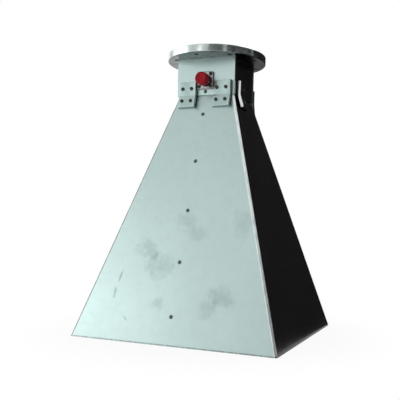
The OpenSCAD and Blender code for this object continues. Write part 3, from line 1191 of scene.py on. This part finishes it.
@dataclass
class Studio:
    """Pale floor, plain white surroundings, softboxes and dark cards on the right."""

    lamps: tuple[Lamp, ...] = (
        Lamp("key", -72, 10, 1.5, 1.3, 1.3, 9.5),
        Lamp("low_key", -42, 8, 1.2, 0.55, 0.4, 1.2, aim_z=0.15),
        Lamp("window", -17, 16, 1.6, 0.22, 0.7, 0.5, aim_z=0.4),
        Lamp("back_left", -140, 20, 1.7, 1.2, 1.2, 1.2),
        Lamp("rear_fill", 165, 52, 1.9, 1.4, 0.8, 7),
    )
    flags: tuple[Flag, ...] = (
        Flag("front_card", 4, 37.5, 0.52, 1.05, 0.24),
        Flag("narrow_card", 43, 56, 0.45, 1.05, 0.15),
        Flag("side_flag", 56, 109, 0.0, 0.85, 0.01),
        Flag("rear_flag", 111, 176, 0.0, 1.2, 0.01),
        Flag("back_card", 176, 203, 0.0, 0.85, 0.04),
    )
    sky: float = 0.35

    def camera_share(self, tree: bpy.types.NodeTree) -> Socket:
        """1 for rays of the camera and for mirrored or refracted rays, else 0.

        Args:
            tree: node tree of the world or of a material.

        Returns:
            The result's socket.
        """
        path = tree.nodes.new("ShaderNodeLightPath")
        share = path.outputs["Is Camera Ray"]
        for name in ("Is Glossy Ray", "Is Transmission Ray"):
            node = tree.nodes.new("ShaderNodeMath")
            node.operation = "MAXIMUM"
            tree.links.new(share, node.inputs[0])
            tree.links.new(path.outputs[name], node.inputs[1])
            share = node.outputs[0]
        return share

    def build_sky(self) -> None:
        """White surroundings for the camera and for reflections, dimmer as a light."""
        world = bpy.data.worlds.new("sky")
        world.use_nodes = True
        tree = world.node_tree
        tree.nodes.clear()
        seen, lit = (tree.nodes.new("ShaderNodeBackground") for _ in range(2))
        seen.inputs["Color"].default_value = (1, 1, 1, 1)
        lit.inputs["Color"].default_value = (0.97, 1.0, 0.99, 1)
        lit.inputs["Strength"].default_value = self.sky
        mix = tree.nodes.new("ShaderNodeMixShader")
        out = tree.nodes.new("ShaderNodeOutputWorld")
        tree.links.new(self.camera_share(tree), mix.inputs[0])
        tree.links.new(lit.outputs[0], mix.inputs[1])
        tree.links.new(seen.outputs[0], mix.inputs[2])
        tree.links.new(mix.outputs[0], out.inputs[0])
        bpy.context.scene.world = world

    def build_floor(self) -> bpy.types.Object:
        """Pale floor that shows as white and keeps a soft shadow.

        Returns:
            The new object.
        """
        span = 4.0
        mesh = bpy.data.meshes.new("floor")
        mesh.from_pydata([(-span, -span, -2e-4), (span, -span, -2e-4), (span, span, -2e-4),
                          (-span, span, -2e-4)], [], [(0, 1, 2, 3)])
        floor = bpy.data.objects.new("floor", mesh)
        bpy.context.scene.collection.objects.link(floor)
        material = bpy.data.materials.new("floor")
        material.use_nodes = True
        tree = material.node_tree
        tree.nodes.clear()
        matt = tree.nodes.new("ShaderNodeBsdfDiffuse")
        matt.inputs["Color"].default_value = (0.8, 0.8, 0.8, 1)
        glow = tree.nodes.new("ShaderNodeEmission")
        glow.inputs["Color"].default_value = (1, 1, 1, 1)
        scale = tree.nodes.new("ShaderNodeMath")
        scale.operation = "MULTIPLY"
        place = tree.nodes.new("ShaderNodeTexCoord")
        reach = tree.nodes.new("ShaderNodeVectorMath")
        reach.operation = "LENGTH"
        share = tree.nodes.new("ShaderNodeMapRange")
        share.interpolation_type = "SMOOTHSTEP"
        for name, value in (("From Min", 0.14), ("From Max", 0.3), ("To Min", 0.93),
                            ("To Max", 1.0)):
            share.inputs[name].default_value = value
        tree.links.new(place.outputs["Object"], reach.inputs[0])
        tree.links.new(reach.outputs["Value"], share.inputs["Value"])
        tree.links.new(share.outputs[0], scale.inputs[1])
        mix = tree.nodes.new("ShaderNodeMixShader")
        out = tree.nodes.new("ShaderNodeOutputMaterial")
        tree.links.new(self.camera_share(tree), scale.inputs[0])
        tree.links.new(scale.outputs[0], mix.inputs[0])
        tree.links.new(matt.outputs[0], mix.inputs[1])
        tree.links.new(glow.outputs[0], mix.inputs[2])
        tree.links.new(mix.outputs[0], out.inputs[0])
        mesh.materials.append(material)
        return floor

    def build(self) -> None:
        """Makes the surroundings and sets the plain view transform."""
        bpy.context.scene.view_settings.view_transform = "Standard"
        self.build_sky()
        self.build_floor()
        for flag in self.flags:
            flag.build()
        FloorCard().build()
        for lamp in self.lamps:
            lamp.build()


# ---------------------------------------------------------------------------------------------
# The horn


@dataclass
class Horn:
    """All CAD nodes and the fine pieces that stand for some of them, each with its finish."""

    nodes: dict
    shell: Shell = field(default_factory=Shell)
    first_screw_z: float = 36 * MM
    screw_pitch: float = 69.5 * MM
    screw_count: int = 5
    feed_screw_up: float = 5 * MM
    ridge_screw_len: float = 12 * MM
    upper_screw_len: float = 7 * MM
    lower_screw_grip: float = 2.7 * MM
    jack_screw_len: float = 8 * MM
    flat_head: float = 2.85 * MM
    flat_socket: float = 2.4 * MM

    def dress(self, names: Sequence[str], material: bpy.types.Material) -> None:
        """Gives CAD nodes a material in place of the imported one.

        Args:
            names: names of the nodes.
            material: finish of the piece.
        """
        for name in names:
            mesh = self.nodes[name].data
            mesh.materials.clear()
            mesh.materials.append(material)
            LOG.info("dressed %s", name)

    def report(self, piece: bpy.types.Object) -> None:
        """Lets a new piece ride on the frame and reports it."""
        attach(piece, "root")
        LOG.info("built %s, %d faces", piece.name, len(piece.data.polygons))

    def ridge_places(self, turn: int) -> list[Place]:
        """Places of the ridge screws on one broad face: five on the flare, one on the housing.

        Args:
            turn: turn of the face about the axis, in degrees.

        Returns:
            The places.
        """
        places = [self.shell.on_flare(turn, 0.0, self.first_screw_z + self.screw_pitch * i)
                  for i in range(self.screw_count)]
        return places + [self.shell.on_feed(turn, 0.0, self.shell.joint_z + self.feed_screw_up)]

    def build_screws(self, brackets: Sequence[Bracket], jack: Jack) -> None:
        """Makes every screw set.

        Args:
            brackets: the brackets, which say where their screws are.
            jack: the jack, which says where its screws are.
        """
        black = PlatedMetal("black_oxide", (0.05, 0.062, 0.06), 0.36).make()
        steel = PlatedMetal("dark_steel", (0.11, 0.135, 0.13), 0.42).make()
        for name, turns in (("front", (0,)), ("rear", (180,)), ("side", (90, -90))):
            chosen = [b for b in brackets if b.seat.turn in turns]
            places = [p for b in chosen for p in b.upper_screws() + b.lower_screws()]
            lengths = [v for b in chosen
                       for v in ((self.upper_screw_len,) * 2
                                 + (b.lower_leg() + self.lower_screw_grip,) * 2)]
            self.report(ScrewSet(f"{name}_button_screws", f"{name}_bracket_screws",
                                 HeadStyle.BUTTON, places, lengths).build(black))
        for name, turn in (("front", 0), ("rear", 180)):
            places = self.ridge_places(turn)
            self.report(ScrewSet(f"{name}_flat_screws", f"{name}_ridge_screws", HeadStyle.FLAT,
                                 places, [self.ridge_screw_len] * len(places),
                                 head=self.flat_head, flats=self.flat_socket).build(steel))
        places = jack.screw_places()
        self.report(ScrewSet("jack_screws", "connector_screws", HeadStyle.BUTTON, places,
                             [self.jack_screw_len] * len(places)).build(black))

    def build(self) -> None:
        """Dresses every node and builds the fine pieces."""
        panel = SatinAluminium("sheet_aluminium", cloud=0.16, specks=0.14, stains=(
            Stain(-0.050, 0.122, 0.022, 0.017, 0.3, 0.5),
            Stain(-0.028, 0.098, 0.026, 0.020, -0.2, 0.45),
            Stain(0.000, 0.160, 0.018, 0.016, 0.4, 0.4),
            Stain(0.020, 0.143, 0.016, 0.013, 0.0, 0.35),
            Stain(0.064, 0.064, 0.022, 0.016, 0.2, 0.5),
            Stain(0.050, 0.050, 0.016, 0.020, 0.0, 0.35),
            Stain(0.082, 0.160, 0.020, 0.022, 0.0, 0.35),
            Stain(-0.021, 0.051, 0.014, 0.012, 0.0, 0.4),
            Stain(-0.0855, 0.084, 0.0022, 0.012, 0.22, 0.9),
            Stain(-0.090, 0.061, 0.0025, 0.010, 0.05, 0.7),
            Stain(-0.069, 0.031, 0.0014, 0.006, -0.7, 0.9),
        ), edges=SheetEdges()).make()
        plate = SatinAluminium("plate_aluminium", roughness=0.34).make()
        pressed = SatinAluminium("pressed_aluminium", colour=(0.35, 0.455, 0.44),
                                 roughness=0.27, relief=0.15).make()
        black = BlackCoat("black_coat").make()
        self.dress(["flare_front_panel", "flare_rear_panel"], panel)
        self.dress(["mounting_flange"], TurnedAluminium("turned_aluminium").make())
        self.dress(["feed_front_plate", "feed_rear_plate", "front_ridge", "rear_ridge"], plate)
        self.dress(["feed_left_plate", "feed_right_plate", "flare_left_panel",
                    "flare_right_panel"], black)
        self.dress(["flange_screws"],
                   PlatedMetal("flange_black_oxide", (0.045, 0.05, 0.05), 0.38).make())
        self.dress(["feed_pin"], PlatedMetal("gold", (0.86, 0.62, 0.25), 0.2).make())
        self.dress(["connector_insulator"], Plastic("ptfe", (0.85, 0.85, 0.82), 0.45).make())
        brackets = [Bracket(self.shell, seat) for seat in SEATS]
        # painted highlight: a lighter copy of the bracket aluminium, used only on the side
        # brackets' ribs
        rib_highlight = SatinAluminium("painted_highlight_aluminium", colour=(0.78, 0.80, 0.80),
                                roughness=0.3).make()
        # side brackets: the black coat on their aluminium plates is painted shade, and their ribs
        # take the painted highlight copy
        for bracket in brackets:
            at_side = abs(bracket.seat.turn) == 90
            self.report(bracket.build(black if at_side else pressed,
                                      rib_highlight if at_side else pressed))
        jack = Jack(self.shell)
        self.build_screws(brackets, jack)
        nickel = PlatedMetal("nickel", (0.27, 0.265, 0.26), 0.26, mottle=0.5).make()
        self.report(jack.build(nickel))
        red = Plastic("red_plastic", (0.42, 0.006, 0.020), 0.33, specular=0.16).make()
        self.report(DustCap(self.shell).build(red))


def main() -> None:
    """Loads the frame, dresses the horn and builds the studio."""
    logging.basicConfig(level=logging.INFO, format="%(message)s")
    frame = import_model()
    Camera().build()
    Horn(frame["nodes"]).build()
    Studio().build()


if __name__ == "__main__":
    main()
